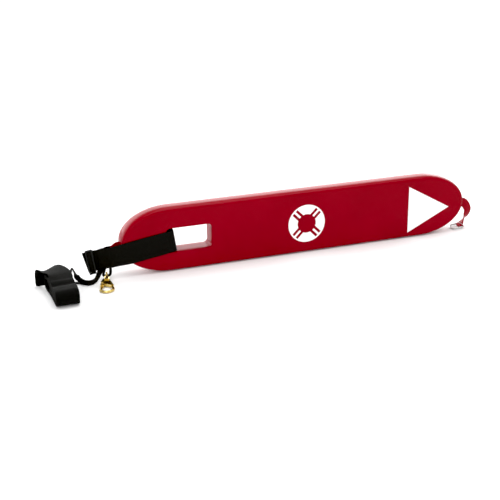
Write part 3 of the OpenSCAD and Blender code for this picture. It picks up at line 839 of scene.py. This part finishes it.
def build_slider():
    """Three bars between two cheeks, all with rounded edges."""
    bm = bmesh.new()

    def block(u0, u1, z0, z1, thick):
        m = Matrix.Diagonal(((u1 - u0), thick, (z1 - z0), 1))
        m = Matrix.Translation(((u0 + u1) / 2, SLIDER_Y, (z0 + z1) / 2)) @ m
        bmesh.ops.create_cube(bm, size=1.0, matrix=m)

    end = 29.0
    for k in (-1, 0, 1):
        c = SLIDER_MID + k * (BAR + GAP)
        block(c - BAR / 2, c + BAR / 2, -end + 3.3, end - 3.3, SL_THICK - (0.6 if k == 0 else 0.2))
    for s in (-1, 1):
        z0, z1 = sorted((s * end, s * (end - 3.3)))
        block(SLIDER_MID - SL_LONG / 2, SLIDER_MID + SL_LONG / 2, z0, z1, SL_THICK)
    bmesh.ops.bevel(
        bm, geom=bm.edges[:], offset=0.85, segments=3, profile=0.6, affect="EDGES", clamp_overlap=True
    )
    for v in bm.verts:
        v.co = on_strap(*v.co)
    data = bpy.data.meshes.new("slider_frame")
    bm.to_mesh(data)
    bm.free()
    data.polygons.foreach_set("use_smooth", [True] * len(data.polygons))
    obj = bpy.data.objects.new("slider_frame", data)
    bpy.context.scene.collection.objects.link(obj)
    return obj


slider = build_slider()
finish_piece(slider, ACETAL, "slider", "slider", "strap_slider")


# ---------------------------------------------------------------- stitching
def stitches(name, points, normals, out, body, slot, *stands_for, size=0.00035, long=0.0024, gap=0.0012):
    """A row of threads laid on a surface along a line."""
    verts, faces = [], []
    line, lifts = even(points, long + gap, normals)
    for a, b, n in zip(line, line[1:], lifts):
        d = (b - a)
        d = d * (long / (long + gap))
        t = d.normalized()
        n = (n - t * n.dot(t)).normalized()
        side = t.cross(n)
        base = len(verts)
        for f, r in ((0, 0.25), (0.12, 0.85), (0.5, 1.0), (0.88, 0.85), (1, 0.25)):
            arch = math.sin(math.pi * f) * size * 0.8
            for k in range(6):
                q = 2 * math.pi * k / 6
                lift = out + arch + size * r * math.sin(q)
                verts.append(a + d * f + n * lift + side * size * r * math.cos(q))
        for i in range(4):
            for k in range(6):
                m = (k + 1) % 6
                here, there = base + i * 6, base + (i + 1) * 6
                faces.append((here + k, here + m, there + m, there + k))
        faces.append(tuple(base + k for k in range(5, -1, -1)))
        faces.append(tuple(base + 24 + k for k in range(6)))
    obj = new_mesh(name, verts, faces)
    return finish_piece(obj, THREAD, body, slot, *stands_for)


def box_tack(name, corner, u, v, n, long, tall, body, *stands_for):
    """A box of thread with a cross in it."""
    p = [corner, corner + u * long, corner + u * long + v * tall, corner + v * tall]
    route = [p[0], p[1], p[2], p[3], p[0], p[2], p[3], p[1]]
    return stitches(name, route, [n] * len(route), 0.0002, body, "thread", *stands_for)


def strap_dir(u, y, z):
    return (on_strap(u, y, z) - on_strap(0, 0, 0)).normalized()


start = rear_near - rear_dir * 29 + rear_out * (1.5 * 1.6 + 0.25)
box_tack("fold_stitching", on_strap(start.x, start.y, -20),
         strap_dir(rear_dir.x, rear_dir.y, 0), strap_dir(0, 0, 1),
         strap_dir(rear_out.x, rear_out.y, 0), 0.020, 0.040, "slider", "strap_stitching")

# ---------------------------------------------------------------- end straps
LEFT = [
    ((6, 0, 70), (0, 0, 1), 22, 5.5), ((0.5, 0, 70), (0, 0, 1), 22, 4.6),
    ((-5, -0.4, 69.6), (-0.1, 0, 1), 22, 3.7),
    ((-11, -1.6, 66), (-0.5, 0, 0.9), 21.5, 3.6), ((-16.5, -3, 58.5), (-0.8, 0.2, 0.6), 19, 3.6),
    ((-21.5, -5, 50), (-0.6, 0.8, 0.2), 15, 3.6), ((-25, -6, 43.5), (-0.1, 1, 0), 12.5, 3.4),
    ((-26.8, -6, 39.6), (0, 1, 0), 12, 3),
]
RIGHT = [
    ((-4, 0, 68.5), (0, 0, 1), 22, 5.5), ((1.5, 0, 68), (0, 0, 1), 22, 4.6),
    ((10, 0, 66), (0.3, 0, 1), 22, 3.7),
    ((19, 0, 58), (0.8, 0.15, 0.6), 22, 3.6), ((25, 0, 45), (0.97, 0.2, 0.1), 22, 3.6),
    ((21.5, 0, 32), (0.92, 0.4, 0), 22, 3.6),
    ((14.5, 0, 20), (0.55, 0.85, 0), 22, 3.6), ((8.2, 0, 10), (0, 1, 0), 21.8, 3.4),
]


def coated_strap(name, route, base_x, eye_at, eye_outer, eye_bore, eye_long, body, stands_for):
    pts = smooth([Vector((base_x + p[0] * MM, p[1] * MM, p[2] * MM)) for p, w, wide, th in route], 8)
    sides = smooth([Vector(w) for p, w, wide, th in route], 8)
    sizes = smooth([Vector((wide, th, 0)) for p, w, wide, th in route], 8)
    rings = []
    for i, c in enumerate(pts):
        a, b = pts[max(i - 1, 0)], pts[min(i + 1, len(pts) - 1)]
        t = (b - a).normalized()
        w = (sides[i] - t * sides[i].dot(t)).normalized()
        n = t.cross(w)
        wide, th = sizes[i].x * MM / 2, sizes[i].y * MM / 2
        ring = []
        for k in range(24):
            q = 2 * math.pi * k / 24
            cx = math.copysign(abs(math.cos(q)) ** 0.35, math.cos(q))
            sy = math.copysign(abs(math.sin(q)) ** 0.8, math.sin(q))
            ring.append(c + w * wide * cx + n * th * sy)
        rings.append(ring)
    verts, faces = skin_rings(rings)
    base = len(verts)
    steps = 48
    middle = (eye_outer + eye_bore) / 2
    cross = ((eye_outer, 0.8), (eye_outer - 0.5, 1.0), (middle, 1.0), (eye_bore + 0.3, 1.0), (eye_bore, 0.85))
    profile = [(r, h) for r, h in cross] + [(r, -h) for r, h in reversed(cross)]
    for k in range(steps):
        q = 2 * math.pi * k / steps
        for r, h in profile:
            verts.append(eye_at + Vector((math.cos(q) * r, h * eye_long / 2, math.sin(q) * r)) * MM)
    m = len(profile)
    for k in range(steps):
        for j in range(m):
            a, b = base + k * m, base + ((k + 1) % steps) * m
            faces.append((a + j, a + (j + 1) % m, b + (j + 1) % m, b + j))
    obj = new_mesh(name, verts, faces)
    return finish_piece(obj, VINYL, body, "vinyl", stands_for)


coated_strap("left_strap", LEFT, -TIP, V(-27, -6, 34), 6.2, 4.2, 12, "float", "left_end_strap")
RING_BAR = Vector((TIP + 0.006, 0, 0.005))
right_strap = coated_strap("right_strap", RIGHT, TIP, RING_BAR, 5.0, 2.6, 22, None, "right_end_strap")
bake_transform(right_strap)

tack = V(-29.6, -6, 48.2)
box_tack("line_stitching", tack + Vector((0, -0.0045, -0.0006)), Vector((0, 1, 0)), Vector((0, 0, 1)),
         Vector((-1, 0, 0.1)), 0.009, 0.0025, "float", "tow_line_stitching")

# ---------------------------------------------------------------- carried CAD nodes
for node, material, slot in (
    ("arrow_print", INK, "ink"), ("emblem_print", INK, "ink"), 
    ("core_strap", WEBBING, "webbing"), ("end_ring", STEEL, "steel"), ("lanyard_sleeve", STEEL, "steel"),
    ("snap_spring", STEEL, "steel"),
    ("snap_eye", BRASS, "brass"), ("snap_body", BRASS, "brass"), ("snap_bolt", BRASS, "brass"),
    ("snap_stud", BRASS, "brass"),
):
    obj = NODES[node]
    obj.data.materials.clear()
    obj.data.materials.append(material)

# ---------------------------------------------------------------- floor, light
floor = new_mesh("floor", [(-9, -7, 0), (9, -7, 0), (9, 11, 0), (-9, 11, 0)], [(0, 1, 2, 3)], soft=False)
paper = Mat("paper_floor")
paper.set(Roughness=0.9)
paper.bsdf.inputs["Specular IOR Level"].default_value = 0.1
grain = paper.add("ShaderNodeTexNoise", Scale=30.0)
paper.link(paper.coords(), grain)
tint = paper.ramp(grain, [(0.3, (0.90, 0.90, 0.90)), (0.7, (0.91, 0.91, 0.91))])
paper.links.new(tint.outputs["Color"], paper.bsdf.inputs["Base Color"])
floor.data.materials.append(paper.mat)

SKY, BACKDROP = 0.95, 2.8
world = bpy.data.worlds.new("studio")
bpy.context.scene.world = world
world.use_nodes = True
wn, wl = world.node_tree.nodes, world.node_tree.links
back = wn["Background"]
coord = wn.new("ShaderNodeTexCoord")
parts = wn.new("ShaderNodeSeparateXYZ")
wl.new(coord.outputs["Generated"], parts.inputs[0])
sky = wn.new("ShaderNodeValToRGB")
els = sky.color_ramp.elements
els[0].position, els[0].color = 0.50, (1.0, 1.0, 1.0, 1)
els[1].position, els[1].color = 1.0, (0.62, 0.62, 0.62, 1)
half = wn.new("ShaderNodeMath")
half.operation = "MULTIPLY_ADD"
half.inputs[1].default_value = 0.5
half.inputs[2].default_value = 0.5
wl.new(parts.outputs["Z"], half.inputs[0])
wl.new(half.outputs[0], sky.inputs["Fac"])
# the backdrop: a bright band low down behind the object
low = wn.new("ShaderNodeMapRange")
low.interpolation_type = "SMOOTHSTEP"
low.inputs["From Min"].default_value = 0.62
low.inputs["From Max"].default_value = 0.40
wl.new(parts.outputs["Z"], low.inputs["Value"])
behind = wn.new("ShaderNodeMapRange")
behind.interpolation_type = "SMOOTHSTEP"
behind.inputs["From Min"].default_value = 0.1
behind.inputs["From Max"].default_value = 0.6
wl.new(parts.outputs["Y"], behind.inputs["Value"])
card = wn.new("ShaderNodeMath")
card.operation = "MULTIPLY"
wl.new(low.outputs["Result"], card.inputs[0])
wl.new(behind.outputs["Result"], card.inputs[1])
card_light = wn.new("ShaderNodeMath")
card_light.operation = "MULTIPLY_ADD"
card_light.inputs[1].default_value = BACKDROP
card_light.inputs[2].default_value = SKY
wl.new(card.outputs[0], card_light.inputs[0])
wl.new(sky.outputs["Color"], back.inputs["Color"])
wl.new(card_light.outputs[0], back.inputs["Strength"])


def area_light(name, at, look, size, power, tall=None):
    data = bpy.data.lights.new(name, "AREA")
    data.shape = "RECTANGLE"
    data.size = size
    data.size_y = tall or size
    data.energy = power
    obj = bpy.data.objects.new(name, data)
    bpy.context.scene.collection.objects.link(obj)
    obj.location = at
    obj.rotation_euler = (Vector(look) - Vector(at)).to_track_quat("-Z", "Y").to_euler()
    return obj


area_light("overhead", (0.2, 0.2, 2.4), (0, 0, 0), 2.2, 38)
area_light("front_fill", (-1.6, -2.4, 1.5), (0, 0, 0.1), 1.4, 12)

view = bpy.context.scene.view_settings
view.view_transform = "Standard"
view.look = "None"
view.exposure = 0.0
view.use_curve_mapping = True
view.curve_mapping.black_level = (0.0095, 0.0095, 0.0095)
view.curve_mapping.white_level = (0.86, 0.86, 0.86)
view.curve_mapping.update()
